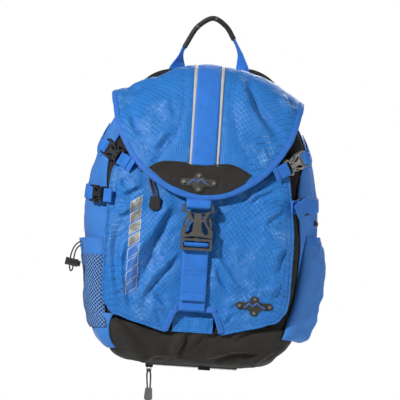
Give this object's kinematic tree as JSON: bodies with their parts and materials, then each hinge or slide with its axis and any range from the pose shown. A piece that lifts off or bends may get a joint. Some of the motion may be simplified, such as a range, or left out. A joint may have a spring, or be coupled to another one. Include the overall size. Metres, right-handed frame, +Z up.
{
  "type": "ski backpack",
  "caption": "Blue and black ski backpack hung from its haul loop, with a buckled storm flap, a front stash panel, compression straps, side pockets and zip pulls.",
  "frame": {"origin": "under the peak of the haul loop's grip, where a hook carries the pack", "axes": "+Z up along the hanging pack, -Y out of the pack's front, +X to the viewer's right, +Y towards the wearer's back"},
  "size_m": [0.3774, 0.201, 0.5675],
  "materials": {
    "ripstop": "coarse ripstop weave",
    "plain_blue": "plain weave",
    "blue_webbing": "woven tape",
    "black_fabric": "plain weave",
    "black_webbing": "woven tape",
    "mesh": "open mesh",
    "padding": "spacer mesh over foam",
    "piping": "reflective",
    "cord": "braided cord",
    "graphite_plastic": "moulded",
    "black_plastic": "moulded",
    "frame_plastic": "sheet",
    "badge_plate": "dark satin",
    "rivet": "domed",
    "black_rubber": "moulded",
    "grey_rubber": "moulded"
  },
  "bodies": {
    "pack": {"right_side_panel": "plain_blue", "left_side_panel": "plain_blue", "front_divider": "black_fabric", "rear_wall": "black_fabric", "base_panel": "black_fabric", "collar": "black_fabric", "front_panel": "ripstop", "arch_binding": "blue_webbing", "pocket_gusset": "black_fabric", "pocket_zip": "black_webbing", "panel_badge": "badge_plate", "panel_badge_rivets": "rivet", "mesh_pocket": "mesh", "mesh_pocket_hem": "plain_blue", "side_pocket": "plain_blue", "side_pocket_hem": "blue_webbing", "pocket_drawcord": "cord", "cord_lock_body": "black_plastic", "compression_tabs": "blue_webbing", "right_sockets": "graphite_plastic", "left_sockets": "black_plastic", "compression_straps": "blue_webbing", "front_strap": "blue_webbing", "base_zip": "black_webbing", "haul_loop": "blue_webbing", "haul_grip": "black_rubber", "back_panel": "padding", "back_pads": "padding", "frame_sheet": "frame_plastic"},
    "flap": {"flap": "ripstop", "flap_patch": "black_fabric", "flap_webbing": "blue_webbing", "flap_piping": "piping", "flap_badge": "badge_plate", "flap_badge_rivets": "rivet", "front_socket": "graphite_plastic"},
    "front_plug": {"front_plug": "graphite_plastic"},
    "pocket_pull": {"pocket_slider": "black_plastic", "pocket_pull_cord": "cord", "pocket_pull_tip": "black_rubber"},
    "base_pull": {"base_slider": "black_plastic", "base_pull_cord": "cord", "base_pull_tip": "grey_rubber"},
    "lock_button": {"cord_lock_button": "black_plastic"},
    "right_upper_plug": {"right_upper_plug": "graphite_plastic"},
    "right_lower_plug": {"right_lower_plug": "graphite_plastic"},
    "right_shoulder_strap": {"right_shoulder_strap": "padding", "right_strap_buckles": "black_plastic", "right_shoulder_webbing": "black_webbing"},
    "right_hip_wing": {"right_hip_wing": "padding", "right_hip_webbing": "black_webbing", "right_hip_buckle": "black_plastic"},
    "left_upper_plug": {"left_upper_plug": "black_plastic"},
    "left_lower_plug": {"left_lower_plug": "black_plastic"},
    "left_shoulder_strap": {"left_shoulder_strap": "padding", "left_strap_buckles": "black_plastic", "left_shoulder_webbing": "black_webbing"},
    "left_hip_wing": {"left_hip_wing": "padding", "left_hip_webbing": "black_webbing", "left_hip_buckle": "black_plastic"}
  },
  "joints": [
    {"name": "flap_hinge", "type": "hinge", "parent": "pack", "child": "flap", "pos_m": [0, -0.008, -0.077], "axis": [-1, 0, 0], "range_deg": [0, 75]},
    {"name": "front_buckle_release", "type": "slide", "parent": "pack", "child": "front_plug", "axis": [0, 0.035, -0.9994], "range_m": [0, 0.03], "deforming": ["front_strap"]},
    {"name": "pocket_zip", "type": "slide", "parent": "pack", "child": "pocket_pull", "axis": [1, 0, 0], "range_m": [0, 0.15]},
    {"name": "base_zip", "type": "slide", "parent": "pack", "child": "base_pull", "axis": [1, 0, 0], "range_m": [0, 0.12]},
    {"name": "cord_lock_press", "type": "slide", "parent": "pack", "child": "lock_button", "axis": [-0.9848, 0, 0.1736], "range_m": [0, 0.003], "stiffness_N_per_m": 300, "springref_m": -0.002},
    {"name": "right_upper_release", "type": "slide", "parent": "pack", "child": "right_upper_plug", "axis": [0.7194, 0.4496, 0.5295], "range_m": [0, 0.015]},
    {"name": "right_lower_release", "type": "slide", "parent": "pack", "child": "right_lower_plug", "axis": [0.5989, 0.7986, 0.0599], "range_m": [0, 0.015]},
    {"name": "right_strap_swing", "type": "hinge", "parent": "pack", "child": "right_shoulder_strap", "pos_m": [0, 0.009, -0.112], "axis": [1, 0, 0], "range_deg": [0, 30]},
    {"name": "right_wing_swing", "type": "hinge", "parent": "pack", "child": "right_hip_wing", "pos_m": [0.128, 0.009, -0.425], "axis": [0, 0, -1], "range_deg": [0, 165]},
    {"name": "left_upper_release", "type": "slide", "parent": "pack", "child": "left_upper_plug", "axis": [-0.7194, 0.4496, 0.5295], "range_m": [0, 0.015]},
    {"name": "left_lower_release", "type": "slide", "parent": "pack", "child": "left_lower_plug", "axis": [-0.5989, 0.7986, 0.0599], "range_m": [0, 0.015]},
    {"name": "left_strap_swing", "type": "hinge", "parent": "pack", "child": "left_shoulder_strap", "pos_m": [0, 0.009, -0.112], "axis": [1, 0, 0], "range_deg": [0, 30]},
    {"name": "left_wing_swing", "type": "hinge", "parent": "pack", "child": "left_hip_wing", "pos_m": [-0.128, 0.009, -0.425], "axis": [0, 0, 1], "range_deg": [0, 165]}
  ],
  "couplings": [
    {"joint": "front_buckle_release", "follows": "flap_hinge", "m_per_rad": 0.022916}
  ]
}
